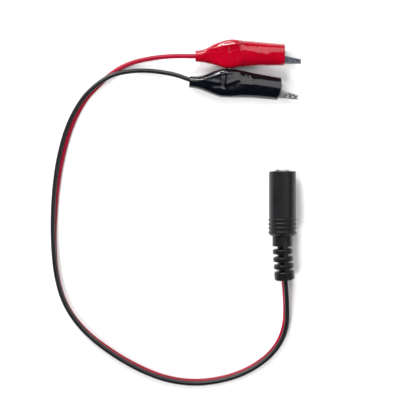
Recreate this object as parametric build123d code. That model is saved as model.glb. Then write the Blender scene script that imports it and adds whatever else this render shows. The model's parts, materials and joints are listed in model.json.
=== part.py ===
from build123d import *
import math
import os

# Test lead: an inline 5.5 x 2.1 mm DC barrel socket, a bonded pair of wires in
# an open loop, and two booted alligator clips lying on their sides.
# Millimetres, +Z up, z = 0 is the table. The origin is under the middle of the
# socket and the clips, and the socket's mouth faces +Y.

# ---- driving dimensions: socket --------------------------------------------
JACK_X = 14.52           # socket axis, which runs along Y
JACK_Z = 5.50            # axis height, so the grip rings touch the table
MOUTH_Y = -4.46          # front face of the black housing
HOUSING_REAR_Y = -29.45
HOUSING_R = 5.22
RING_YS = (-23.28, -24.91, -26.50, -28.21)
RING_CREST_R = JACK_Z
RING_ROUND_R = 0.40
FRONT_CHAMFER = 0.25
REAR_CHAMFER = 0.75
HOUSING_BORE_R = 3.50
BOSS_FRONT_Y = -24.50    # front of the relief's boss, inside the housing
NECK_REAR_Y = -33.56
NECK_R = 3.88
SHELL_R = 3.48           # nickel sleeve, 0.7 mm proud of the housing
SHELL_WALL = 0.33
SHELL_ROUND_R = 0.12     # outer edge of its front rim
SHELL_FRONT_Y = MOUTH_Y + 0.70
SHELL_REAR_Y = -15.50
LINER_FRONT_Y = MOUTH_Y + 0.30
LINER_REAR_Y = -16.60
SOCKET_R = 2.80          # takes a 5.5 mm plug
SOCKET_FLOOR_Y = -13.90
PIN_R = 1.05             # for a plug with a 2.1 mm bore
PIN_TIP_Y = -5.20
PIN_TIP_ROUND = 0.50
PIN_STEM_R = 0.80
TAB_REAR_Y = -20.50      # rear ends of the pin's tab and the sleeve's lug
TAB_WIDTH = 1.40
TAB_THICKNESS = 0.40
LUG_WIDTH = 1.80
LUG_DROP = 1.72          # how far the lug steps in towards the axis
LINER_FLOOR_R = 2.60
LEAF_FRONT_Y = -5.60
LEAF_REAR_Y = -13.40
LEAF_WIDTH = 1.30
LEAF_THICKNESS = 0.15
LEAF_BOW = 0.18          # how far the leaf stands into the socket
MOULD_GAP = 0.02         # between the inner moulding and the housing
SOLDER_DROP_Y = -19.60
SOLDER_DROP_SIZE = (0.85, 1.50, 0.75)

# ---- driving dimensions: strain relief -------------------------------------
RELIEF_CORE_R = 2.05
SPINE_ANGLE = 20         # degrees from straight up, towards +X
SPINE_WIDTH = 1.25
SPINE_HEIGHT = 3.00
SPINE_OFFSET = 2.42      # middle of the spine's box from the relief's axis
RIB_ROUND_R = 0.62
# (slot in front of the rib, thickness of the rib), from the neck to the end
RELIEF_ROWS = ((1.00, 1.95), (1.00, 1.90), (1.00, 1.85), (0.95, 3.40))

# ---- driving dimensions: wires ---------------------------------------------
WIRE_R = 0.90
PAIR_PITCH = 1.75        # the two coats are bonded, so just under one diameter
CONDUCTOR_R = 0.50
JACK_STRIP_LENGTH = 6.00

# ---- driving dimensions: clip, in its own frame ----------------------------
# u runs from the boot's rear end to the jaw tip, v towards the thumb lever and
# w up, away from the table. The pivot runs along w.
CLIP_Z = 4.10            # height of w = 0
RED_CLIP_AT = (-19.20, 40.20)
BLACK_CLIP_AT = (-19.91, 30.11)
BLACK_CLIP_TURN = -5.4   # degrees about Z
BLACK_BOOT_SLIP = 1.6    # how far the black boot has slipped back along its clip
SHEET = 0.40
TIP_U = 41.00
PIVOT_U, PIVOT_V = 25.00, -0.30
RIVET_R = 0.75
RIVET_HEAD_R = 1.30
PIVOT_PLAY = 0.05
JAW_HALF_W = 2.00        # outside of the toothed walls
EAR_HALF_W = 2.45        # outside of the fixed jaw's ears
FIXED_EAR_R = 1.90
MOVING_EAR_R = 1.70
LEVER_HALF_W = 2.30
TOOTH_PITCH = 1.80
TOOTH_HEIGHT = 0.95
TOOTH_LINE_V = -2.00
TOOTH_GAP = 0.10
FIRST_TOOTH_U = 39.10
TOOTH_COUNT = 6
CRIMP_INNER_R = 0.92
CRIMP_OUTER_R = 1.32
WIRE_END_U = 7.00
CONDUCTOR_END_U = 10.00
SPRING_WIRE_R = 0.24
SPRING_R = 1.35
SPRING_PITCH = 0.52
SPRING_TURNS = 4.37
SPRING_START_ANGLE = -73
SPRING_FEET = ((16.5, -2.72), (18.2, 3.72))     # on the finger plate, under the lever
CLIP_SOLDER_AT = (8.7, -0.35)
CLIP_SOLDER_SIZE = (1.25, 0.95, 0.85)
# (u, v) lines of the bent sheets
FINGER_PLATE_LINE = ((13.5, -3.66), (21.0, -2.88), (26.0, -2.70), (29.7, -2.84))
TAIL_LINE = ((4.8, -1.50), (9.6, -1.50), (11.3, -3.34), (13.7, -3.66))
TAIL_HALF_W = 1.50
# outside of the moving jaw's sheet, from the end of its lever to the tip
MOVING_BACK_LINE = (
    (10.80, 4.55),
    (12.00, 5.10),
    (15.50, 5.15),
    (19.00, 4.45),
    (24.50, 2.45),
    (28.50, 1.40),
    (34.65, 0.03),
    (TIP_U, -1.38),
)
LEVER_PAD_END_U = 18.0
BOOT_WALL = 0.65
# (u, v of the top, v of the bottom, half width)
BOOT_SECTIONS = (
    (0.00, 2.17, -2.17, 2.15),
    (4.50, 3.15, -2.75, 2.70),
    (9.50, 5.50, -3.95, 3.70),
    (14.50, 6.42, -4.65, 4.07),
    (20.50, 6.10, -3.95, 4.06),
    (27.00, 5.25, -3.62, 3.95),
    (34.65, 4.46, -3.55, 3.70),
)
BOOT_CORNER = 0.45       # corner radius, as a share of the smaller half size

# ---- routes ----------------------------------------------------------------
# The bonded pair: x and y of its middle, height of the lower (red) wire's
# centre, and how far the upper (black) wire leans outwards, in degrees.
PAIR_ROUTE = (
    (14.52, -24.5, 4.68, 20),
    (14.52, -35.5, 4.68, 20),
    (15.80, -50.5, 2.75, 20),
    (16.20, -58.0, 1.20, 20),
    (16.00, -64.5, 0.90, 30),
    (13.60, -71.2, 0.90, 28),
    (8.80, -77.0, 0.90, 24),
    (1.50, -81.9, 0.90, 26),
    (-7.60, -85.3, 0.90, 28),
    (-19.0, -86.9, 0.90, 28),
    (-30.6, -85.4, 0.90, 27),
    (-41.8, -80.9, 0.90, 29),
    (-52.7, -74.4, 0.90, 24),
    (-62.6, -66.6, 0.90, 12),
    (-69.9, -56.7, 0.90, 6),
    (-73.3, -45.5, 0.90, 5),
    (-74.4, -33.4, 0.90, 10),
    (-74.3, -21.4, 0.90, 25),
    (-73.4, -9.4, 0.90, 38),
    (-71.5, 2.2, 0.90, 52),
    (-68.1, 13.9, 0.90, 54),
    (-62.6, 24.0, 0.90, 38),
)
# Past the split each wire has its own centre points, up to its crimp.
RED_TAIL = (
    (-57.2, 28.6, 0.9),
    (-52.3, 33.5, 0.9),
    (-46.9, 36.8, 0.9),
    (-40.7, 38.8, 1.1),
    (-34.1, 39.9, 1.8),
    (-27.5, 40.3, 3.2),
    (-21.3, 40.2, 4.1),
    (-16.6, 40.15, 4.1),
    (-12.2, 40.2, 4.1),
)
BLACK_TAIL = (
    (-56.8, 30.0, 2.9),
    (-51.2, 33.2, 2.9),
    (-44.9, 34.5, 2.2),
    (-38.4, 34.8, 1.7),
    (-32.1, 34.1, 2.0),
    (-26.3, 32.9, 3.1),
    (-21.7, 31.1, 4.0),
    (-17.1, 29.84, 4.1),
    (-12.94, 29.45, 4.1),
)


# ---- wires -----------------------------------------------------------------
def outward(route, i):
    """Unit vector to the left of the route at point i, which is the loop's outside."""
    before = route[max(i - 1, 0)]
    after = route[min(i + 1, len(route) - 1)]
    along = Vector(after[0] - before[0], after[1] - before[1], 0).normalized()
    return Vector(-along.Y, along.X, 0)


def wire_points(tail, upper):
    """Centre points of one wire of the pair, followed by its own tail."""
    points = []
    for i, (x, y, z, lean) in enumerate(PAIR_ROUTE):
        across = PAIR_PITCH * math.sin(math.radians(lean)) / 2
        rise = PAIR_PITCH * math.cos(math.radians(lean))
        side = outward(PAIR_ROUTE, i) * (across if upper else -across)
        points.append(Vector(x, y, z + (rise if upper else 0)) + side)
    return points + [Vector(*p) for p in tail]


def corner_radii(points):
    """Largest sensible arc for each corner: 0.45 of its shorter run."""
    radii = []
    for a, b, c in zip(points, points[1:], points[2:]):
        turn = math.radians((b - a).get_angle(c - b))
        shorter = min((b - a).length, (c - b).length)
        radii.append(0.45 * shorter / math.tan(turn / 2))
    return radii


def rounded_path(points):
    return FilletPolyline(*points, radius=corner_radii(points))


def tube(path, radius):
    start = Plane(origin=path @ 0, z_dir=path % 0)
    return sweep(start * Circle(radius), path=path)


def make_wire(name, points):
    path = rounded_path(points)
    wire = tube(path, WIRE_R)
    expected = math.pi * WIRE_R**2 * path.length
    print(name, "length", round(path.length, 1), "volume ratio", round(wire.volume / expected, 4))
    print("  radii", [round(r, 1) for r in corner_radii(points)])
    return wire


# ---- socket ----------------------------------------------------------------
def rod(radius, y_from, y_to):
    """Cylinder on the socket's axis, between two places along it."""
    middle = (y_from + y_to) / 2
    return Pos(JACK_X, middle, JACK_Z) * Rot(90, 0, 0) * Cylinder(radius, abs(y_to - y_from))


def strip(outline, width):
    """Flat sheet-metal strip: an outline of (y, z) points, extruded both ways along X."""
    face = Plane.YZ.offset(JACK_X) * make_face(Polyline(*outline, close=True))
    return extrude(face, width / 2, both=True)


def make_housing():
    body = rod(HOUSING_R, MOUTH_Y, HOUSING_REAR_Y)
    for y in RING_YS:
        ring = Torus(RING_CREST_R - RING_ROUND_R, RING_ROUND_R)
        body += Pos(JACK_X, y, JACK_Z) * Rot(90, 0, 0) * ring
    ends = body.edges().filter_by(GeomType.CIRCLE).sort_by(Axis.Y)
    body = chamfer(ends[0], REAR_CHAMFER)
    front = body.edges().filter_by(GeomType.CIRCLE).sort_by(Axis.Y)[-1]
    body = chamfer(front, FRONT_CHAMFER)
    body -= rod(HOUSING_BORE_R, MOUTH_Y + 1, BOSS_FRONT_Y)
    body -= rod(NECK_R, BOSS_FRONT_Y, HOUSING_REAR_Y - 1)
    return body


def make_shell():
    inner_r = SHELL_R - SHELL_WALL
    sleeve = rod(SHELL_R, SHELL_FRONT_Y, SHELL_REAR_Y)
    rim = sleeve.edges().filter_by(GeomType.CIRCLE).sort_by(Axis.Y)[-1]
    sleeve = fillet(rim, SHELL_ROUND_R) - rod(inner_r, SHELL_FRONT_Y + 1, SHELL_REAR_Y - 1)
    top = JACK_Z + SHELL_R - 0.08
    under_top = top - 0.24
    low = top - LUG_DROP
    under_low = low - SHELL_WALL
    front_y = SHELL_REAR_Y + 0.5
    lug = strip(
        (
            (front_y, top),
            (-16.90, top),
            (-18.60, low),
            (TAB_REAR_Y, low),
            (TAB_REAR_Y, under_low),
            (-18.80, under_low),
            (-17.00, under_top),
            (front_y, under_top),
        ),
        LUG_WIDTH,
    )
    return sleeve + lug


def make_liner():
    liner = rod(SHELL_R - SHELL_WALL, LINER_FRONT_Y, SHELL_REAR_Y)
    liner += rod(LINER_FLOOR_R, SHELL_REAR_Y, LINER_REAR_Y)
    liner -= rod(SOCKET_R, LINER_FRONT_Y + 1, SOCKET_FLOOR_Y)
    liner -= rod(PIN_STEM_R, SOCKET_FLOOR_Y + 1, LINER_REAR_Y - 1)
    # slot for the spring contact, open to the sleeve and to the socket
    slot = Box(LEAF_WIDTH + 0.2, LEAF_FRONT_Y - LEAF_REAR_Y + 0.6, 1.0)
    middle_y = (LEAF_FRONT_Y + LEAF_REAR_Y) / 2
    return liner - Pos(JACK_X, middle_y, JACK_Z + SOCKET_R + 0.3) * slot


def make_leaf():
    """Spring contact in the liner's slot, bowed into the socket."""
    rest_z = JACK_Z + SHELL_R - SHELL_WALL - 0.06
    bow_z = JACK_Z + SOCKET_R - LEAF_BOW
    middle_y = (LEAF_FRONT_Y + LEAF_REAR_Y) / 2
    thick = LEAF_THICKNESS
    upper = ThreePointArc((LEAF_FRONT_Y, rest_z), (middle_y, bow_z + thick), (LEAF_REAR_Y, rest_z))
    lower = ThreePointArc((LEAF_FRONT_Y, rest_z - thick), (middle_y, bow_z), (LEAF_REAR_Y, rest_z - thick))
    sides = [Line(upper @ 0, lower @ 0), Line(upper @ 1, lower @ 1)]
    face = Plane.YZ.offset(JACK_X) * make_face([upper, lower] + sides)
    return extrude(face, LEAF_WIDTH / 2, both=True)


def make_center_pin():
    pin = rod(PIN_R, PIN_TIP_Y, SOCKET_FLOOR_Y)
    tip = pin.edges().filter_by(GeomType.CIRCLE).sort_by(Axis.Y)[-1]
    pin = fillet(tip, PIN_TIP_ROUND)
    pin += rod(PIN_STEM_R, SOCKET_FLOOR_Y, LINER_REAR_Y - 0.4)
    tab_length = LINER_REAR_Y - 0.1 - TAB_REAR_Y
    tab = Box(TAB_WIDTH, tab_length, TAB_THICKNESS)
    return pin + Pos(JACK_X, TAB_REAR_Y + tab_length / 2, JACK_Z - 0.1) * tab


def stripped_end(points):
    """Bare copper in line with the wire's first run, in front of its coat."""
    start = points[0]
    middle = start + Vector(0, JACK_STRIP_LENGTH / 2, 0)
    return Pos(*middle) * Rot(90, 0, 0) * Cylinder(CONDUCTOR_R, JACK_STRIP_LENGTH)


def solder_drop(x, z, metal):
    """Solder around a bare end, with the metal it wets taken out."""
    drop = Pos(x, SOLDER_DROP_Y, z) * scale(Sphere(1), SOLDER_DROP_SIZE)
    for piece in metal:
        drop -= piece
    return drop.solids().sort_by(SortBy.VOLUME)[-1]


def make_inner_mould(enclosed):
    radius = HOUSING_BORE_R - MOULD_GAP
    mould = rod(radius, SHELL_REAR_Y, BOSS_FRONT_Y)
    mould -= rod(LINER_FLOOR_R, SHELL_REAR_Y + 1, LINER_REAR_Y)
    for piece in enclosed:
        mould -= piece
    return mould.solids().sort_by(SortBy.VOLUME)[-1]


# ---- strain relief ---------------------------------------------------------
def relief_axis():
    """Middle line of the pair, from the housing to the relief's end."""
    rise = PAIR_PITCH * math.cos(math.radians(SPINE_ANGLE)) / 2
    middle = [Vector(x, y, z + rise) for x, y, z, _ in PAIR_ROUTE[:3]]
    length = sum(slot + rib for slot, rib in RELIEF_ROWS)
    past_bend = length - (NECK_REAR_Y - middle[1].Y)
    end = middle[1] + (middle[2] - middle[1]).normalized() * past_bend
    front = Vector(JACK_X, BOSS_FRONT_Y, JACK_Z)
    return FilletPolyline(front, middle[1], end, radius=corner_radii(middle)[0])


def make_relief():
    path = relief_axis()
    relief = rod(NECK_R, BOSS_FRONT_Y, NECK_REAR_Y) + tube(path, RELIEF_CORE_R)
    at = BOSS_FRONT_Y - NECK_REAR_Y
    for slot, rib in RELIEF_ROWS:
        bridge = frame_on(path, at + slot / 2)
        for side in (1, -1):
            spine = Box(SPINE_WIDTH, SPINE_HEIGHT, slot + 2 * RIB_ROUND_R + 0.2)
            relief += bridge * Rot(0, 0, -SPINE_ANGLE) * Pos(0, side * SPINE_OFFSET, 0) * spine
        disc = Cylinder(NECK_R + 0.02, rib)
        disc = fillet(disc.edges().filter_by(GeomType.CIRCLE), RIB_ROUND_R)
        relief += frame_on(path, at + slot + rib / 2) * disc
        at += slot + rib
    slot = SlotOverall(PAIR_PITCH + 2 * WIRE_R, 2 * WIRE_R, rotation=90 - SPINE_ANGLE)
    return relief - sweep(frame_on(path, 0) * slot, path=path)


def frame_on(path, distance):
    """Place on the path: local z along it, local y as near up as that allows."""
    share = min(distance / path.length, 1)
    along = path % share
    across = Vector(0, 0, 1).cross(along).normalized()
    return Plane(origin=path @ share, x_dir=across, z_dir=along).location


# ---- clip ------------------------------------------------------------------
def sheet_wall(outline, w_low, w_high):
    """Flat wall: (u, v) outline between two heights."""
    face = Plane.XY.offset(w_low) * make_face(Polyline(*outline, close=True))
    return extrude(face, w_high - w_low)


def both_sides(outline, w_inner, w_outer):
    return sheet_wall(outline, w_inner, w_outer) + sheet_wall(outline, -w_outer, -w_inner)


def sheet_left_of(line, half_width):
    """Bent sheet whose thickness lies to the left of the (u, v) line."""
    other = offset_line(line, SHEET)
    return sheet_wall(tuple(line) + tuple(reversed(other)), -half_width, half_width)


def sheet_right_of(line, half_width):
    other = offset_line(line, -SHEET)
    return sheet_wall(tuple(line) + tuple(reversed(other)), -half_width, half_width)


def offset_line(line, distance):
    """The (u, v) line moved to its left, mitred at its corners."""
    moved = []
    for i, (u, v) in enumerate(line):
        a = Vector(*line[max(i - 1, 0)])
        b = Vector(*line[min(i + 1, len(line) - 1)])
        here = Vector(u, v)
        before = (here - a).normalized() if i > 0 else (b - here).normalized()
        after = (b - here).normalized() if i < len(line) - 1 else before
        mean = (before + after).normalized()
        stretch = distance / mean.dot(before)
        moved.append((u - mean.Y * stretch, v + mean.X * stretch))
    return moved


def tooth_line(shift):
    """Zigzag from the tip back towards the pivot, moved in v by shift."""
    peak = TOOTH_LINE_V + TOOTH_HEIGHT / 2 + shift
    valley = TOOTH_LINE_V - TOOTH_HEIGHT / 2 + shift
    points = [(FIRST_TOOTH_U + TOOTH_PITCH / 2, valley)]
    for i in range(TOOTH_COUNT):
        u = FIRST_TOOTH_U - i * TOOTH_PITCH
        points += [(u, peak), (u - TOOTH_PITCH / 2, valley)]
    return points


def along_u(u):
    """Place at u on the clip's axis: local z runs along u and local x along v."""
    return Plane(origin=(u, 0, 0), x_dir=(0, 1, 0), z_dir=(1, 0, 0)).location


def ear(radius, inner_w, outer_w):
    disc = Cylinder(radius, outer_w - inner_w)
    middle = (inner_w + outer_w) / 2
    return Pos(PIVOT_U, PIVOT_V, middle) * disc + Pos(PIVOT_U, PIVOT_V, -middle) * disc


def pivot_hole(radius):
    return Pos(PIVOT_U, PIVOT_V, 0) * Cylinder(radius, 8)


def make_fixed_jaw():
    half_gap = TOOTH_GAP / 2
    teeth = tooth_line(-half_gap)
    back_u = teeth[-1][0]
    nose = ((TIP_U, -2.85), (TIP_U, -2.02 - half_gap), (TIP_U - 0.35, -2.02 - half_gap))
    front = nose + tuple(teeth) + ((back_u, -2.86), (TIP_U - 0.1, -2.92))
    jaw = both_sides(front, JAW_HALF_W - SHEET, JAW_HALF_W)
    jaw += sheet_wall(nose + ((TIP_U - 0.35, -2.85),), -JAW_HALF_W, JAW_HALF_W)
    # back of the channel, then the finger plate and the tail with its crimp
    jaw += sheet_left_of(((back_u, -2.88), (TIP_U, -2.93)), JAW_HALF_W)
    jaw += sheet_left_of(FINGER_PLATE_LINE, EAR_HALF_W - 0.1)
    jaw += sheet_left_of(TAIL_LINE, TAIL_HALF_W)
    # ears, outside the moving jaw's, joined to the toothed walls by a joggle
    cheek = ((22.6, -2.75), (back_u + 0.4, -2.75), (back_u + 0.4, -2.55), (27.0, -1.0), (23.2, -1.0))
    jaw += both_sides(cheek, EAR_HALF_W - SHEET, EAR_HALF_W)
    jaw += ear(FIXED_EAR_R, EAR_HALF_W - SHEET, EAR_HALF_W)
    joggle = ((back_u, -2.78), (back_u + 0.4, -2.78), (back_u + 0.4, -2.55), (back_u, -2.55))
    jaw += both_sides(joggle, JAW_HALF_W - SHEET, EAR_HALF_W)
    jaw -= pivot_hole(RIVET_R + 0.005)
    crimp = Cylinder(CRIMP_OUTER_R, 1.8) - Cylinder(CRIMP_INNER_R, 4) - Pos(1.2, 0, 0) * Box(1.2, 0.3, 4)
    return jaw + along_u(5.7) * crimp


def make_moving_jaw():
    half_gap = TOOTH_GAP / 2
    teeth = tooth_line(half_gap)[:-1]
    back = (FIRST_TOOTH_U - (TOOTH_COUNT - 0.5) * TOOTH_PITCH, -1.90)
    nose_u, nose_v = TIP_U - 0.05, -1.98 + half_gap
    tip = ((nose_u - SHEET, nose_v), (nose_u, nose_v), (nose_u, -1.55))
    # the walls stop inside the sheet's thickness
    under_sheet = ((34.65, -0.14), (28.5, 1.22), (24.5, 2.26), (21.5, 3.34))
    behind_teeth = ((21.8, 2.60), (23.4, 0.60), (26.6, -0.90), back)
    jaw = sheet_right_of(MOVING_BACK_LINE, LEVER_HALF_W)
    # only the lever's pad keeps the full width
    trim = Box(TIP_U, 14, 2)
    for side in (1, -1):
        jaw -= Pos(LEVER_PAD_END_U + TIP_U / 2, 0, side * (JAW_HALF_W + 1)) * trim
    walls = tip + under_sheet + behind_teeth + tuple(reversed(teeth))
    jaw += both_sides(walls, JAW_HALF_W - SHEET, JAW_HALF_W)
    jaw += sheet_wall(tip + ((nose_u - SHEET, -1.50),), -JAW_HALF_W, JAW_HALF_W)
    jaw += ear(MOVING_EAR_R, JAW_HALF_W - SHEET, JAW_HALF_W)
    return jaw - pivot_hole(RIVET_R + PIVOT_PLAY)


def make_rivet():
    rivet = Cylinder(RIVET_R, 2 * EAR_HALF_W + 0.04)
    for side in (1, -1):
        head = Cylinder(RIVET_HEAD_R, 0.42)
        head = fillet(head.edges().filter_by(GeomType.CIRCLE).sort_by(Axis.Z)[-1], 0.25)
        turn = Rot(0, 0, 0) if side > 0 else Rot(180, 0, 0)
        rivet += Pos(0, 0, side * (EAR_HALF_W + 0.02 + 0.21)) * turn * head
    return Pos(PIVOT_U, PIVOT_V, 0) * rivet


def make_spring():
    """Torsion spring round the rivet, one leg under the lever, one on the tail."""
    height = SPRING_PITCH * SPRING_TURNS
    coil = Pos(PIVOT_U, PIVOT_V, -height / 2) * Rot(0, 0, SPRING_START_ANGLE) * Helix(
        SPRING_PITCH, height, SPRING_R
    )
    section = Plane(origin=coil @ 0, z_dir=coil % 0) * Circle(SPRING_WIRE_R)
    spring = sweep(section, path=coil, is_frenet=True)
    for end, foot in zip((coil @ 0, coil @ 1), SPRING_FEET):
        leg = Line(end, (foot[0], foot[1], end.Z))
        spring += tube(leg, SPRING_WIRE_R)
        spring += Pos(*end) * Sphere(SPRING_WIRE_R)
    return spring


def boot_section(u, top, bottom, half_w, inset):
    half_v = (top - bottom) / 2 - inset
    half_w = half_w - inset
    corner = BOOT_CORNER * min(half_v, half_w)
    return along_u(u) * Pos((top + bottom) / 2, 0) * RectangleRounded(2 * half_v, 2 * half_w, corner)


def make_boot():
    outer = loft([boot_section(*s, 0) for s in BOOT_SECTIONS])
    first, last = BOOT_SECTIONS[0], BOOT_SECTIONS[-1]
    sections = [(first[0] - 1,) + first[1:]] + list(BOOT_SECTIONS) + [(last[0] + 1,) + last[1:]]
    return outer - loft([boot_section(*s, BOOT_WALL) for s in sections])


def make_clip_conductor():
    length = CONDUCTOR_END_U - WIRE_END_U
    return along_u(WIRE_END_U + length / 2) * Cylinder(CONDUCTOR_R, length)


def make_clip_solder(metal):
    drop = Pos(*CLIP_SOLDER_AT, 0) * scale(Sphere(1), CLIP_SOLDER_SIZE)
    for piece in metal:
        drop -= piece
    return drop.solids().sort_by(SortBy.VOLUME)[-1]


def make_clip():
    clip = {
        "fixed_jaw": make_fixed_jaw(),
        "moving_jaw": make_moving_jaw(),
        "pivot_rivet": make_rivet(),
        "spring": make_spring(),
        "boot": make_boot(),
        "conductor": make_clip_conductor(),
    }
    coat = along_u(WIRE_END_U - 2) * Cylinder(WIRE_R, 4)
    clip["solder"] = make_clip_solder((clip["fixed_jaw"], clip["conductor"], coat))
    return clip


# ---- the whole lead --------------------------------------------------------
def make_parts():
    red_points = wire_points(RED_TAIL, upper=False)
    black_points = wire_points(BLACK_TAIL, upper=True)
    parts = {
        "wire_red": make_wire("wire_red", red_points),
        "wire_black": make_wire("wire_black", black_points),
    }
    parts["strain_relief"] = make_relief()
    parts["jack_housing"] = make_housing()
    parts["jack_shell"] = make_shell()
    parts["jack_insulator"] = make_liner()
    parts["contact_leaf"] = make_leaf()
    parts["center_pin"] = make_center_pin()
    bare = [stripped_end(red_points), stripped_end(black_points)]
    metal = bare + [parts["center_pin"], parts["jack_shell"]]
    low, high = red_points[0], black_points[0]
    drops = [
        solder_drop(low.X, low.Z + 0.1, metal),
        solder_drop(high.X, high.Z + 0.3, metal),
    ]
    drops[1] = drops[1] - drops[0]
    parts["jack_conductors"] = Compound(children=bare)
    parts["jack_solder"] = Compound(children=drops)
    parts["inner_mould"] = make_inner_mould(metal + drops)
    clip = make_clip()
    places = {
        "red": Pos(*RED_CLIP_AT, CLIP_Z),
        "black": Pos(*BLACK_CLIP_AT, CLIP_Z) * Rot(0, 0, BLACK_CLIP_TURN),
    }
    for colour, place in places.items():
        for name, shape in clip.items():
            parts[f"{colour}_{name}"] = place * shape
    parts["black_boot"] = places["black"] * Pos(-BLACK_BOOT_SLIP, 0, 0) * clip["boot"]
    return parts


os.makedirs("parts", exist_ok=True)
for node, shape in make_parts().items():
    export_step(shape, f"parts/{node}.step")
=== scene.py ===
import json
import math

import bmesh
import bpy
from mathutils import Matrix, Vector, noise


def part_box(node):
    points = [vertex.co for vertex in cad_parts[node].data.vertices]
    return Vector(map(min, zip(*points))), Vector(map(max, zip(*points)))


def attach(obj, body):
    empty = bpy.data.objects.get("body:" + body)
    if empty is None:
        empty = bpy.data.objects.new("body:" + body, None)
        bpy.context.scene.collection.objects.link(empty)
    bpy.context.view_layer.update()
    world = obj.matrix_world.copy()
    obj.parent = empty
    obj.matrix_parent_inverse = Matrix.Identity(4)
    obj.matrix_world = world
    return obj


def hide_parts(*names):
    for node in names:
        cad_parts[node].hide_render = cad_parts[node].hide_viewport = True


# Looks of the test lead: a barrel socket with its strain relief, a bonded pair
# of wires in an open loop, and two booted alligator clips on their sides.
# Lengths are in mm and take MM on their way into a mesh or a call. Only the
# materials, the floor and the lights are in metres.

MM = 0.001

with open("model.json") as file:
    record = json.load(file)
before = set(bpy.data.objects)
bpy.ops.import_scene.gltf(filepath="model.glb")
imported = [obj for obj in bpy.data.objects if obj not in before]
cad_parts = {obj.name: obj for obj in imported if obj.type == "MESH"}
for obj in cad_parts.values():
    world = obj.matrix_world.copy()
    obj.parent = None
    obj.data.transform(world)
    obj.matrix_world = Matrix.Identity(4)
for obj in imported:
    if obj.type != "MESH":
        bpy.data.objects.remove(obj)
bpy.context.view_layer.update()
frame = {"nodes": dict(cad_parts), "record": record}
nodes = frame["nodes"]


# ---- small helpers ---------------------------------------------------------
def lerp(a, b, t):
    return a + (b - a) * t


def smooth(t):
    t = min(max(t, 0.0), 1.0)
    return t * t * (3 - 2 * t)


def bump_at(x, middle, width):
    """A smooth hump of height 1 at the middle, gone past three widths."""
    return math.exp(-(((x - middle) / width) ** 2))


def curve_through(points):
    """Smooth function through the (x, y) points, with no overshoot between them."""
    xs = [p[0] for p in points]
    ys = [p[1] for p in points]
    slopes = [(ys[i + 1] - ys[i]) / (xs[i + 1] - xs[i]) for i in range(len(xs) - 1)]
    tangents = [slopes[0]]
    for a, b in zip(slopes, slopes[1:]):
        tangents.append(0.0 if a * b <= 0 else 2 * a * b / (a + b))
    tangents.append(slopes[-1])

    def value(x):
        x = min(max(x, xs[0]), xs[-1])
        i = 0
        while i < len(xs) - 2 and x > xs[i + 1]:
            i += 1
        h = xs[i + 1] - xs[i]
        t = (x - xs[i]) / h
        return (
            (1 + 2 * t) * (1 - t) ** 2 * ys[i]
            + t * (1 - t) ** 2 * h * tangents[i]
            + t * t * (3 - 2 * t) * ys[i + 1]
            + t * t * (t - 1) * h * tangents[i + 1]
        )

    return value


def new_mesh(name, bm):
    mesh = bpy.data.meshes.new(name)
    bm.to_mesh(mesh)
    bm.free()
    for polygon in mesh.polygons:
        polygon.use_smooth = True
    piece = bpy.data.objects.new(name, mesh)
    bpy.context.scene.collection.objects.link(piece)
    return piece


def closed_tube(rings_of_points):
    """A closed surface through rings of points, where the last ring meets the first."""
    bm = bmesh.new()
    rings = []
    for points in rings_of_points:
        rings.append([bm.verts.new(point) for point in points])
    for a, b in zip(rings, rings[1:] + rings[:1]):
        for k in range(len(a)):
            n = (k + 1) % len(a)
            bm.faces.new((a[k], a[n], b[n], b[k]))
    bmesh.ops.recalc_face_normals(bm, faces=bm.faces)
    return bm


def set_material(piece, material):
    piece.data.materials.clear()
    piece.data.materials.append(material)


# ---- materials -------------------------------------------------------------
# A noise's scale is in waves per metre. Its values mostly lie within these spans.
COLOUR_SPAN = (0.35, 0.70)
ROUGHNESS_SPAN = (0.3, 0.75)
GRAIN_HEIGHT = 0.00002  # in metres


class Shader:
    """A Principled material, with short ways to add procedural nodes to it."""

    def __init__(self, name, **sockets):
        self.material = bpy.data.materials.new(name)
        self.material.use_nodes = True
        self.tree = self.material.node_tree
        self.bsdf = next(n for n in self.tree.nodes if n.type == "BSDF_PRINCIPLED")
        for key, value in sockets.items():
            self.bsdf.inputs[key.replace("_", " ")].default_value = value
        self.position = self.tree.nodes.new("ShaderNodeTexCoord").outputs["Object"]

    def link(self, a, b):
        self.tree.links.new(a, b)

    def node(self, kind):
        return self.tree.nodes.new("ShaderNode" + kind)

    def noise(self, scale, detail):
        made = self.node("TexNoise")
        made.inputs["Scale"].default_value = scale
        made.inputs["Detail"].default_value = detail
        made.inputs["Roughness"].default_value = 0.55
        self.link(self.position, made.inputs["Vector"])
        return made.outputs["Fac"]

    def ramp(self, value, span, low, high):
        """Maps a number from a span to the range between low and high."""
        made = self.node("MapRange")
        made.inputs["From Min"].default_value = span[0]
        made.inputs["From Max"].default_value = span[1]
        made.inputs["To Min"].default_value = low
        made.inputs["To Max"].default_value = high
        self.link(value, made.inputs["Value"])
        return made.outputs["Result"]

    def colour(self, scale, detail, deep, pale):
        """Soft patches of two colours."""
        made = self.node("Mix")
        made.data_type = "RGBA"
        made.inputs["A"].default_value = (*deep, 1)
        made.inputs["B"].default_value = (*pale, 1)
        patches = self.ramp(self.noise(scale, detail), COLOUR_SPAN, 0, 1)
        self.link(patches, made.inputs["Factor"])
        self.link(made.outputs["Result"], self.bsdf.inputs["Base Color"])

    def roughness(self, scale, detail, low, high):
        """Patches of a smoother and a rougher surface."""
        patches = self.ramp(self.noise(scale, detail), ROUGHNESS_SPAN, low, high)
        self.link(patches, self.bsdf.inputs["Roughness"])

    def grain(self, scale, detail, strength):
        """A fine unevenness of the surface."""
        made = self.node("Bump")
        made.inputs["Strength"].default_value = strength
        made.inputs["Distance"].default_value = GRAIN_HEIGHT
        self.link(self.noise(scale, detail), made.inputs["Height"])
        self.link(made.outputs["Normal"], self.bsdf.inputs["Normal"])


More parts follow.
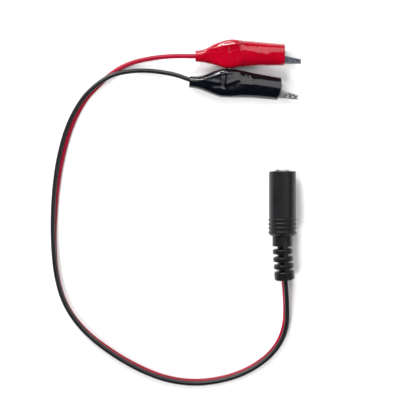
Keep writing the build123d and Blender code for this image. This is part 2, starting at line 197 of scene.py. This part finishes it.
def boot_material(name, deep, pale, rough):
    s = Shader(name, IOR=1.52)
    s.colour(160, 2.0, deep, pale)
    s.roughness(420, 3.0, rough - 0.04, rough + 0.04)
    s.grain(1300, 3.0, 0.20)
    return s.material


def wire_material(name, deep, pale, gloss):
    s = Shader(name, IOR=1.48)
    s.colour(240, 2.0, deep, pale)
    s.roughness(700, 3.0, 0.30, 0.46)
    s.bsdf.inputs["Specular IOR Level"].default_value = gloss
    s.grain(2600, 2.0, 0.30)
    return s.material


def moulded_material(name, deep, pale, rough):
    s = Shader(name, IOR=1.46)
    s.colour(300, 3.0, deep, pale)
    s.roughness(900, 3.0, rough - 0.05, rough + 0.05)
    s.bsdf.inputs["Specular IOR Level"].default_value = 0.32
    s.grain(5200, 2.0, 0.35)
    return s.material


def metal_material(name, deep, pale, rough):
    s = Shader(name, Metallic=1.0)
    s.colour(700, 4.0, deep, pale)
    s.roughness(1500, 4.0, rough - 0.08, rough + 0.10)
    s.grain(1800, 3.0, 0.30)
    return s.material


MATERIALS = {
    "boot_red_pvc": boot_material("boot red", (0.26, 0.000, 0.007), (0.32, 0.000, 0.011), 0.14),
    "boot_black_pvc": boot_material("boot black", (0.0008, 0.0010, 0.0025), (0.0020, 0.0022, 0.0045), 0.20),
    "wire_red_pvc": wire_material("wire red", (0.22, 0.000, 0.013), (0.29, 0.002, 0.020), 0.28),
    "wire_black_pvc": wire_material("wire black", (0.003, 0.003, 0.004), (0.006, 0.006, 0.007), 0.52),
    "housing_plastic": moulded_material("housing", (0.0065, 0.0065, 0.0072), (0.010, 0.010, 0.011), 0.36),
    "relief_pvc": moulded_material("relief", (0.004, 0.004, 0.0047), (0.0075, 0.0075, 0.0082), 0.36),
    "insulator_plastic": moulded_material("insulator", (0.010, 0.010, 0.011), (0.016, 0.016, 0.017), 0.45),
    "inner_moulding": moulded_material("inner moulding", (0.55, 0.54, 0.50), (0.66, 0.65, 0.61), 0.50),
    "nickel_plate": metal_material("nickel", (0.74, 0.73, 0.70), (0.86, 0.85, 0.81), 0.42),
    "clip_steel": metal_material("clip steel", (0.42, 0.43, 0.46), (0.60, 0.61, 0.64), 0.30),
    "spring_steel": metal_material("spring steel", (0.36, 0.36, 0.38), (0.50, 0.50, 0.52), 0.32),
    "spring_bronze": metal_material("spring bronze", (0.55, 0.38, 0.20), (0.68, 0.50, 0.30), 0.28),
    "bare_copper": metal_material("copper", (0.62, 0.34, 0.22), (0.78, 0.48, 0.34), 0.32),
    "solder": metal_material("solder", (0.50, 0.50, 0.52), (0.62, 0.62, 0.64), 0.36),
}

for part in frame["record"]["subparts"]:
    set_material(nodes[part["node"]], MATERIALS[part["material_slot"]])


# ---- wires -----------------------------------------------------------------
WIRE_DIAMETER = 1.80
PAIR_PITCH = 1.75

# The bonded pair, in mm: x and y of its middle, height of the lower (red)
# wire's centre, and how far the upper (black) wire leans outwards, in degrees.
PAIR_ROUTE = (
    (14.52, -24.5, 4.68, 20),
    (14.52, -35.5, 4.68, 20),
    (15.80, -50.5, 2.75, 20),
    (16.20, -58.0, 1.20, 20),
    (16.00, -64.5, 0.90, 30),
    (13.60, -71.2, 0.90, 28),
    (8.80, -77.0, 0.90, 24),
    (1.50, -81.9, 0.90, 26),
    (-7.60, -85.3, 0.90, 28),
    (-19.0, -86.9, 0.90, 28),
    (-30.6, -85.4, 0.90, 27),
    (-41.8, -80.9, 0.90, 29),
    (-52.7, -74.4, 0.90, 24),
    (-62.6, -66.6, 0.90, 12),
    (-69.9, -56.7, 0.90, 6),
    (-73.3, -45.5, 0.90, 5),
    (-74.4, -33.4, 0.90, 10),
    (-74.3, -21.4, 0.90, 25),
    (-73.4, -9.4, 0.90, 38),
    (-71.5, 2.2, 0.90, 52),
    (-68.1, 13.9, 0.90, 54),
    (-62.6, 24.0, 0.90, 38),
)
# Past the split each wire has its own centre points, up to its crimp.
RED_TAIL = (
    (-57.2, 28.6, 0.9),
    (-52.3, 33.5, 0.9),
    (-46.9, 36.8, 0.9),
    (-40.7, 38.8, 1.1),
    (-34.1, 39.9, 1.8),
    (-27.5, 40.3, 3.2),
    (-21.3, 40.2, 4.1),
    (-16.6, 40.15, 4.1),
    (-12.2, 40.2, 4.1),
)
BLACK_TAIL = (
    (-56.8, 30.0, 2.9),
    (-51.2, 33.2, 2.9),
    (-44.9, 34.5, 2.2),
    (-38.4, 34.8, 1.7),
    (-32.1, 34.1, 2.0),
    (-26.3, 32.9, 3.1),
    (-21.7, 31.1, 4.0),
    (-17.1, 29.84, 4.1),
    (-12.94, 29.45, 4.1),
)


def outward(route, i):
    """Unit vector to the left of the route at point i, which is the loop's outside."""
    before = route[max(i - 1, 0)]
    after = route[min(i + 1, len(route) - 1)]
    along = Vector((after[0] - before[0], after[1] - before[1], 0)).normalized()
    return Vector((-along.y, along.x, 0))


def wire_points(tail, upper):
    """Centre points of one wire of the pair in mm, followed by its own tail."""
    points = []
    for i, (x, y, z, lean) in enumerate(PAIR_ROUTE):
        across = PAIR_PITCH * math.sin(math.radians(lean)) / 2
        rise = PAIR_PITCH * math.cos(math.radians(lean))
        side = outward(PAIR_ROUTE, i) * (across if upper else -across)
        points.append(Vector((x, y, z + (rise if upper else 0))) + side)
    return points + [Vector(p) for p in tail]


def make_wire(name, points, slot, node):
    """A wire as a smooth curve just inside the corners of its route."""
    curve = bpy.data.curves.new(name, "CURVE")
    curve.dimensions = "3D"
    spline = curve.splines.new("NURBS")
    spline.points.add(len(points) - 1)
    for control, point in zip(spline.points, points):
        control.co = (*(point * MM), 1)
    spline.order_u = 3
    spline.use_endpoint_u = True
    spline.resolution_u = 24
    curve.bevel_depth = WIRE_DIAMETER / 2 * MM
    curve.bevel_resolution = 7
    curve.use_fill_caps = True
    wire = bpy.data.objects.new(name, curve)
    bpy.context.scene.collection.objects.link(wire)
    set_material(wire, MATERIALS[slot])
    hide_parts(node)
    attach(wire, "root")


make_wire("red_wire", wire_points(RED_TAIL, False), "wire_red_pvc", "wire_red")
make_wire("black_wire", wire_points(BLACK_TAIL, True), "wire_black_pvc", "wire_black")

# ---- clips -----------------------------------------------------------------
# In a clip's own frame u runs from the boot's rear to the jaw tip, v towards
# the thumb lever and w up, all in mm.
CLIP_Z = 4.10
CLIPS = {
    "red": {"at": (-19.20, 40.20), "turn": 0.0, "boot_slip": 0.0},
    "black": {"at": (-19.91, 30.11), "turn": -5.4, "boot_slip": 1.6},
}


def clip_matrix(colour):
    x, y = CLIPS[colour]["at"]
    turn = Matrix.Rotation(math.radians(CLIPS[colour]["turn"]), 4, "Z")
    return Matrix.Scale(MM, 4) @ Matrix.Translation((x, y, CLIP_Z)) @ turn


BOOT_WALL = 0.65
BOOT_LENGTH = 34.65
BOOT_STATIONS = 260
LINING_STATIONS = 60
BOOT_SIDES = 168
LIP = 0.22  # rounding of the boot's two rims
LIP_STEPS = 8
MOUTH_U = 27  # the boot's end takes the shape of its mouth from here on
TIGHT_LENGTH = 6  # the skin grows loose over this length from the rear
SIDE_W = 0.4  # folds start this far above and below the boot's middle
SIDE_FADE = 1.2
UNDER_FOLDS = (1.3, 1.2)  # how the underside's folds are shifted and mirrored
LEAN_SOFTNESS = 0.2

HALF_W = curve_through((
    (0, 2.15), (4.5, 2.70), (9.5, 3.70), (14.5, 4.05), (20.5, 4.05), (27, 3.95), (BOOT_LENGTH, 3.70),
))

# "top" and "bottom" are the outline in v at u, "square" is the power of the
# section's superellipse at u, "lean" is how far the upper face leans at u, and
# "mouth" is how far the rim stands out at v. A fold is a soft ridge along a
# line over the boot's upper side: (u, v) of its two ends, its height and its
# half width. A crease has a height below 0.
BOOTS = {
    "red": {
        "top": curve_through((
            (0, 2.15), (2.5, 2.45), (4.9, 3.40), (7.2, 4.60), (9.5, 5.45), (11.8, 6.10),
            (14.2, 6.42), (16.5, 6.20), (21, 5.85), (25.8, 5.38), (BOOT_LENGTH, 4.62),
        )),
        "bottom": curve_through((
            (0, -2.17), (2.5, -2.35), (4.9, -2.85), (7.2, -3.35), (9.5, -4.05), (11.8, -4.68),
            (14.2, -4.60), (16.5, -4.22), (21, -3.82), (25.8, -3.60), (BOOT_LENGTH, -3.60),
        )),
        "square": curve_through((
            (0, 2.0), (3, 2.2), (8, 3.6), (12, 5.2), (15.5, 5.2), (19.6, 2.35),
            (28, 2.3), (BOOT_LENGTH, 2.5),
        )),
        "lean": curve_through((
            (0, 0.10), (5, 0.13), (10, 0.17), (16, 0.21), (20, 0.09), (24, 0.06), (BOOT_LENGTH, 0.16),
        )),
        "mouth": curve_through(((-3.6, -0.25), (-2.6, 0.0), (4.6, 0.0))),
        "folds": (
            ((3.7, 2.2), (9.8, 3.35), 0.17, 0.45),
            ((10.8, 3.6), (17.3, 4.7), 0.30, 0.50),
            ((17.8, 2.6), (17.6, 5.6), -0.10, 0.40),
            ((9.8, 1.4), (12.2, 2.7), 0.16, 0.55),
            ((12.5, 0.9), (12.8, 3.2), 0.16, 0.32),
            ((13.6, 1.6), (13.9, 3.4), -0.12, 0.40),
            ((4.2, 0.7), (7.0, 1.2), 0.10, 0.45),
            ((14.6, 1.4), (15.8, 1.9), 0.09, 0.45),
            ((18.6, 4.1), (20.8, 2.9), 0.05, 0.45),
            ((21.0, 2.9), (26.2, 2.1), 0.04, 0.55),
            ((19.2, 2.1), (22.4, 1.6), 0.09, 0.50),
            ((23.4, 1.3), (27.6, 0.5), 0.09, 0.60),
            ((24.4, 3.6), (25.6, 0.6), -0.07, 0.45),
        ),
    },
    "black": {
        "top": curve_through((
            (0, 2.20), (2.5, 2.35), (4.9, 2.95), (7.2, 4.05), (9.5, 5.15), (11.8, 6.05),
            (13.2, 6.35), (16.0, 6.42), (20, 6.20), (25.8, 5.60), (BOOT_LENGTH, 4.90),
        )),
        "bottom": curve_through((
            (0, -2.17), (2.5, -2.35), (4.9, -2.75), (7.2, -3.45), (9.5, -4.10), (11.8, -4.65),
            (13.2, -4.78), (16.0, -4.65), (20, -4.20), (25.8, -3.92), (BOOT_LENGTH, -3.82),
        )),
        "square": curve_through((
            (0, 2.0), (3, 2.2), (8, 3.4), (12, 4.6), (17.0, 4.6), (21.4, 2.4),
            (28, 2.3), (BOOT_LENGTH, 2.5),
        )),
        "lean": curve_through(((0, 0.10), (3.5, 0.05), (10, -0.03), (24, -0.06), (BOOT_LENGTH, 0.0))),
        "mouth": curve_through(((-3.65, 0.0), (-1.5, 0.55), (0.8, 1.05), (3.6, 0.80), (4.9, 0.55))),
        "folds": (
            ((5.6, 1.6), (12.0, 4.0), 0.14, 0.50),
            ((12.0, 4.1), (19.2, 5.5), 0.16, 0.42),
            ((19.7, 3.0), (19.9, 5.8), -0.10, 0.40),
            ((4.2, 0.9), (11.6, 0.5), 0.14, 0.70),
            ((12.1, 0.6), (12.3, 2.5), 0.18, 0.32),
            ((13.5, -1.0), (13.5, 4.0), -0.22, 0.60),
            ((14.4, 0.3), (18.8, 2.4), 0.14, 0.80),
            ((19.4, 4.6), (20.2, 3.9), 0.10, 0.30),
            ((21.4, 5.0), (22.0, 4.5), 0.10, 0.30),
            ((23.2, 4.4), (24.5, 3.0), 0.10, 0.30),
            ((24.5, 3.0), (26.4, 3.3), 0.10, 0.30),
            ((25.0, 1.4), (33.0, 0.6), 0.10, 0.80),
            ((20.4, 0.9), (24.2, 1.0), 0.08, 0.60),
            ((8.0, -2.2), (13.2, -1.6), 0.10, 0.70),
        ),
    },
}


def boot_matrix(colour):
    return clip_matrix(colour) @ Matrix.Translation((-CLIPS[colour]["boot_slip"], 0, 0))


def fold_height(fold, u, v):
    (u0, v0), (u1, v1), height, width = fold
    length_squared = (u1 - u0) ** 2 + (v1 - v0) ** 2
    along = ((u - u0) * (u1 - u0) + (v - v0) * (v1 - v0)) / length_squared
    nearest = min(max(along, 0.0), 1.0)
    away = math.hypot(u - lerp(u0, u1, nearest), v - lerp(v0, v1, nearest))
    return height * bump_at(away, 0, width) if away < 3 * width else 0.0


def boot_relief(boot, point, amount):
    """How far the flexible skin stands off its smooth shape, in mm."""
    u, v, w = point
    side = smooth((abs(w) - SIDE_W) / SIDE_FADE)
    height = 0.0
    # the underside has the same kind of folds in other places
    at_u, at_v = (u, v) if w > 0 else (u - UNDER_FOLDS[0], UNDER_FOLDS[1] - v)
    for fold in boot["folds"]:
        height += side * fold_height(fold, at_u, at_v)
    # three sizes of unevenness, each a height times a noise over its own width
    loose = smooth(u / TIGHT_LENGTH)
    height += 0.05 * loose * noise.noise(Vector((u, v, w)) / 3.4)
    height += 0.018 * loose * noise.noise(Vector((u, v * 1.3, w)) / 1.3)
    height += 0.004 * noise.noise(Vector((u, v, w)) / 0.5)
    return height * amount


def boot_point(boot, u, angle, inset, amount):
    """Point on the boot's skin. The angle is 0 at the lever's side and a quarter turn at the top."""
    top, bottom = boot["top"](u), boot["bottom"](u)
    half_v = (top - bottom) / 2 - inset
    half_w = HALF_W(u) - inset
    power = boot["square"](u)
    c, s = math.cos(angle), math.sin(angle)
    # the point on a superellipse in this direction, spread evenly round squarer sections
    reach = (abs(c) ** power + abs(s) ** power) ** (-1 / power)
    v = (top + bottom) / 2 + half_v * reach * c
    w = half_w * reach * s
    out_v = math.copysign(abs(c) ** (power - 1), c) / half_v
    out_w = math.copysign(abs(s) ** (power - 1), s) / half_w
    out = Vector((0, out_v, out_w))
    # the upper face leans, as the lever inside presses on one edge of it
    if w > 0:
        share = (v - (top + bottom) / 2) / half_v
        w *= 1 + boot["lean"](u) * (share + math.sqrt(share * share + LEAN_SOFTNESS)) / 2
    point = Vector((u, v, w))
    if amount:
        point += out.normalized() * boot_relief(boot, point, amount)
        # the soft skin lies flat where it rests on the table
        point.z = max(point.z, -CLIP_Z)
    point.x += boot["mouth"](v) * smooth((u - MOUTH_U) / (BOOT_LENGTH - MOUTH_U))
    return point


def make_boot(colour):
    """The skin over the clip, as rows of u, inset and how much of the relief they have."""
    boot = BOOTS[colour]
    rows = []
    for i in range(1, BOOT_STATIONS):
        rows.append((BOOT_LENGTH * i / BOOT_STATIONS, 0.0, 1.0))
    # round the mouth's lip, back along the lining, and round the rear lip
    lips = []
    for step in range(1, LIP_STEPS):
        turn = math.pi / 2 * step / LIP_STEPS
        lips.append((LIP * (1 - math.sin(turn)), LIP * (1 - math.cos(turn))))
    mouth = [(BOOT_LENGTH - back, inset, 1.0) for back, inset in lips]
    mouth += [(BOOT_LENGTH - back, BOOT_WALL - inset, 0.6) for back, inset in reversed(lips)]
    lining = []
    for i in range(LINING_STATIONS - 1, 0, -1):
        lining.append((BOOT_LENGTH * i / LINING_STATIONS, BOOT_WALL, 0.0))
    rear = [(back, BOOT_WALL - inset, 0.0) for back, inset in lips]
    rear += [(back, inset, 0.5) for back, inset in reversed(lips)]
    angles = [2 * math.pi * k / BOOT_SIDES for k in range(BOOT_SIDES)]
    rings = []
    for u, inset, amount in rows + mouth + lining + rear:
        rings.append([boot_point(boot, u, angle, inset, amount) for angle in angles])
    piece = new_mesh(f"{colour}_boot_skin", closed_tube(rings))
    piece.data.transform(boot_matrix(colour))
    slot = f"boot_{colour}_pvc"
    set_material(piece, MATERIALS[slot])
    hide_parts(f"{colour}_boot")
    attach(piece, "root")


for colour in CLIPS:
    make_boot(colour)


JAW_FRONT_U = 28.0  # the jaws' edges are broken in front of this u
BROKEN_EDGE = 0.16
SAME_POINT = 0.002
FLAT_ANGLE = math.radians(1.5)
SHARP_ANGLE = math.radians(30)
# Lighter, smoother steel for the jaws' broken edges: partly wear, partly a painted highlight.
WORN_AND_HIGHLIT_EDGE = metal_material("worn edge painted highlight", (0.66, 0.67, 0.70), (0.84, 0.84, 0.85), 0.26)


def finished_jaw(colour, name, body, material):
    """A jaw again, with the edges of its front broken, as pressing and plating leave them. The broken edges
    take a lighter steel: partly wear, partly a painted highlight.
    """
    node = f"{colour}_{name}"
    piece = nodes[node].copy()
    piece.data = nodes[node].data.copy()
    piece.name = f"{node}_finished"
    bpy.context.scene.collection.objects.link(piece)
    into_clip = clip_matrix(colour).inverted()
    bm = bmesh.new()
    bm.from_mesh(piece.data)
    # facets of one face are joined first, so that only real edges are broken
    bmesh.ops.remove_doubles(bm, verts=bm.verts, dist=SAME_POINT * MM)
    bmesh.ops.dissolve_limit(bm, angle_limit=FLAT_ANGLE, verts=bm.verts, edges=bm.edges)
    sharp = []
    for edge in bm.edges:
        in_front = all((into_clip @ vert.co).x > JAW_FRONT_U for vert in edge.verts)
        if in_front and edge.is_manifold and edge.calc_face_angle() > SHARP_ANGLE:
            sharp.append(edge)
    bmesh.ops.bevel(
        bm,
        geom=sharp,
        offset=BROKEN_EDGE * MM,
        segments=2,
        profile=0.5,
        affect="EDGES",
        clamp_overlap=False,
        material=1,
    )
    bm.to_mesh(piece.data)
    bm.free()
    set_material(piece, material)
    # the broken edges' lighter steel is partly wear, partly a painted highlight
    piece.data.materials.append(WORN_AND_HIGHLIT_EDGE)
    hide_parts(node)
    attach(piece, body)


# Both clips' jaws are one steel in two copies: the red clip's copy is painted darker as shade, and the
# black clip's is painted lighter, its patches a painted reflection.
SHADED_JAW_STEEL = metal_material("jaw steel painted shade", (0.095, 0.10, 0.125), (0.165, 0.172, 0.20), 0.32)
LIT_JAW_STEEL = metal_material("jaw steel painted reflection", (0.17, 0.175, 0.19), (0.44, 0.44, 0.43), 0.38)
for colour, steel in (("red", SHADED_JAW_STEEL), ("black", LIT_JAW_STEEL)):
    finished_jaw(colour, "fixed_jaw", "root", steel)
    finished_jaw(colour, "moving_jaw", f"{colour}_jaw", steel)


# ---- socket's housing ------------------------------------------------------
RING_YS = (-23.28, -24.91, -26.50, -28.21)
RING_HALF = 0.50
BODY_R = 5.22
GROOVE_DEPTH = 0.07
GROOVE_FADE = 0.25
BORE_R = 3.50
BORE_BREAK = 0.12
NECK_R = 3.88
BOSS_FRONT_Y = -24.50
MOUTH_ROUND = 0.30
MOUTH_STEPS = 8
REAR_CHAMFER = 0.62
REAR_LENGTH = 0.8 * REAR_CHAMFER  # how far the chamfer reaches along the housing
REAR_BREAK_R = 0.10
REAR_BREAK_Y = 0.05
# The outline has coarse steps along the barrel and fine ones over the rings.
BARREL_END_Y = RING_YS[0] + 1.6
BARREL_STEPS = 11
RINGS_FRONT_Y = RING_YS[0] + 1.55
RINGS_REAR_Y = RING_YS[-1] - RING_HALF - 0.02
RINGS_STEP = 0.04
HOUSING_SIDES = 128
HARD_EDGE = math.radians(40)


def ringed_radius(y, crest_r):
    """Outside of the housing at y: the barrel, then four rounded rings with grooves between."""
    nearest = min(abs(y - ring_y) for ring_y in RING_YS)
    if nearest < RING_HALF:
        return lerp(BODY_R - GROOVE_DEPTH, crest_r, math.sqrt(1 - (nearest / RING_HALF) ** 2))
    if y > RING_YS[0] + RING_HALF:
        return BODY_R - GROOVE_DEPTH * bump_at(y, RING_YS[0] + RING_HALF, GROOVE_FADE)
    return BODY_R - GROOVE_DEPTH


def housing_profile(front_y, rear_y, crest_r):
    """Closed (y, radius) outline, from the mouth back along the outside and home through the bore."""
    points = []
    for step in range(MOUTH_STEPS + 1):
        turn = math.pi / 2 * step / MOUTH_STEPS
        back = MOUTH_ROUND * (1 - math.cos(turn))
        points.append((front_y - back, BODY_R - MOUTH_ROUND * (1 - math.sin(turn))))
    for step in range(1, BARREL_STEPS + 1):
        y = lerp(front_y - MOUTH_ROUND, BARREL_END_Y, step / BARREL_STEPS)
        points.append((y, BODY_R))
    ring_steps = round((RINGS_FRONT_Y - RINGS_REAR_Y) / RINGS_STEP)
    for step in range(ring_steps + 1):
        y = RINGS_FRONT_Y - RINGS_STEP * step
        points.append((y, ringed_radius(y, crest_r)))
    points.append((rear_y + REAR_LENGTH, BODY_R - REAR_BREAK_R))
    points.append((rear_y + REAR_BREAK_Y, BODY_R - REAR_CHAMFER))
    points.append((rear_y, BODY_R - REAR_CHAMFER - REAR_BREAK_R))
    points += [(rear_y, NECK_R), (BOSS_FRONT_Y, NECK_R), (BOSS_FRONT_Y, BORE_R)]
    points += [(front_y - BORE_BREAK, BORE_R), (front_y, BORE_R + BORE_BREAK)]
    return points


def make_housing():
    """The housing's outline, turned round the middle of its CAD box."""
    low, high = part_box("jack_housing")
    axis_x = (low[0] + high[0]) / 2
    axis_z = (low[2] + high[2]) / 2
    profile = housing_profile(high[1] / MM, low[1] / MM, (high[0] - low[0]) / 2 / MM)
    rings = []
    for y, radius in profile:
        ring = []
        for k in range(HOUSING_SIDES):
            angle = 2 * math.pi * k / HOUSING_SIDES
            x = axis_x + radius * MM * math.cos(angle)
            z = axis_z + radius * MM * math.sin(angle)
            ring.append((x, y * MM, z))
        rings.append(ring)
    bm = closed_tube(rings)
    for edge in bm.edges:
        edge.smooth = edge.calc_face_angle(0) < HARD_EDGE
    housing = new_mesh("jack_housing_moulding", bm)
    set_material(housing, MATERIALS["housing_plastic"])
    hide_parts("jack_housing")
    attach(housing, "root")


make_housing()


# ---- studio ----------------------------------------------------------------
FLOOR_HALF = 4.0


def make_floor():
    bm = bmesh.new()
    bmesh.ops.create_grid(bm, x_segments=1, y_segments=1, size=FLOOR_HALF)
    floor = new_mesh("floor", bm)
    s = Shader("floor", Roughness=0.95)
    s.bsdf.inputs["Base Color"].default_value = (0.88, 0.88, 0.88, 1)
    s.bsdf.inputs["Specular IOR Level"].default_value = 0.0
    set_material(floor, s.material)


def area_light(name, place, target, width, height, radiance):
    data = bpy.data.lights.new(name, "AREA")
    data.shape = "RECTANGLE"
    data.size, data.size_y = width, height
    data.energy = radiance * math.pi * width * height
    light = bpy.data.objects.new(name, data)
    light.location = place
    light.rotation_euler = (Vector(target) - Vector(place)).to_track_quat("-Z", "Y").to_euler()
    bpy.context.scene.collection.objects.link(light)


def sun_light(name, towards, strength, angle):
    """A key light that casts shadows and isn't mirrored in glossy skins."""
    data = bpy.data.lights.new(name, "SUN")
    data.energy = strength
    data.angle = math.radians(angle)
    light = bpy.data.objects.new(name, data)
    light.rotation_euler = Vector(towards).to_track_quat("-Z", "Y").to_euler()
    light.visible_glossy = False
    bpy.context.scene.collection.objects.link(light)


def make_world():
    """A white wall for the camera, a dark room for reflections and a weak fill for the rest."""
    world = bpy.data.worlds.new("studio")
    bpy.context.scene.world = world
    world.use_nodes = True
    tree = world.node_tree
    tree.nodes.clear()
    paths = tree.nodes.new("ShaderNodeLightPath")
    out = tree.nodes.new("ShaderNodeOutputWorld")

    def background(colour, strength):
        made = tree.nodes.new("ShaderNodeBackground")
        made.inputs["Color"].default_value = (*colour, 1)
        made.inputs["Strength"].default_value = strength
        return made.outputs[0]

    def chosen(ray, otherwise, if_so):
        mix = tree.nodes.new("ShaderNodeMixShader")
        tree.links.new(paths.outputs[ray], mix.inputs[0])
        tree.links.new(otherwise, mix.inputs[1])
        tree.links.new(if_so, mix.inputs[2])
        return mix.outputs[0]

    fill = background((0.90, 0.94, 1.0), 0.14)
    mirrored = background((0.75, 0.85, 1.0), 0.03)
    wall = background((1, 1, 1), 0.9)
    lit = chosen("Is Glossy Ray", fill, mirrored)
    tree.links.new(chosen("Is Camera Ray", lit, wall), out.inputs["Surface"])


# Each key's direction, strength and width in degrees. The low one throws the
# long shadows to the right, the high one the short ones behind.
KEYS = (
    ("low key", (1.15, 0.05, -1.0), 1.05, 18),
    ("high key", (0.46, 0.62, -1.0), 2.0, 20),
)
# Each area light's place, the point it faces, its width, height and radiance.
# The window makes the narrow highlights, the other two the broad faint ones.
AREAS = (
    ("window", (-0.29, 0.545, 0.43), (0.0, 0.035, 0.0), 0.48, 0.13, 25),
    ("softbox", (0.12, 0.42, 0.70), (0.0, 0.035, 0.0), 0.76, 0.71, 2.15),
    ("side", (0.65, 0.02, 0.70), (0.0, 0.0, 0.0), 0.60, 0.40, 1.2),
)
make_floor()
make_world()
for name, towards, strength, angle in KEYS:
    sun_light(name, towards, strength, angle)
for name, place, target, width, height, radiance in AREAS:
    area_light(name, place, target, width, height, radiance)

# ---- camera ----------------------------------------------------------------
# Straight down, with VIEW_WIDTH across the picture at the height VIEW_Z.
VIEW_CENTRE = (-17.4, -15.6)
VIEW_WIDTH = 155.2
VIEW_Z = 4.0
CAMERA_HEIGHT = 900.0
SENSOR_WIDTH = 36.0
EXPOSURE = 0.12

camera_data = bpy.data.cameras.new("camera")
camera_data.sensor_width = SENSOR_WIDTH
camera_data.lens = SENSOR_WIDTH * (CAMERA_HEIGHT - VIEW_Z) / VIEW_WIDTH
camera = bpy.data.objects.new("camera", camera_data)
camera.location = (VIEW_CENTRE[0] * MM, VIEW_CENTRE[1] * MM, CAMERA_HEIGHT * MM)
bpy.context.scene.collection.objects.link(camera)
bpy.context.scene.camera = camera
bpy.context.scene.view_settings.view_transform = "Standard"
bpy.context.scene.view_settings.exposure = EXPOSURE
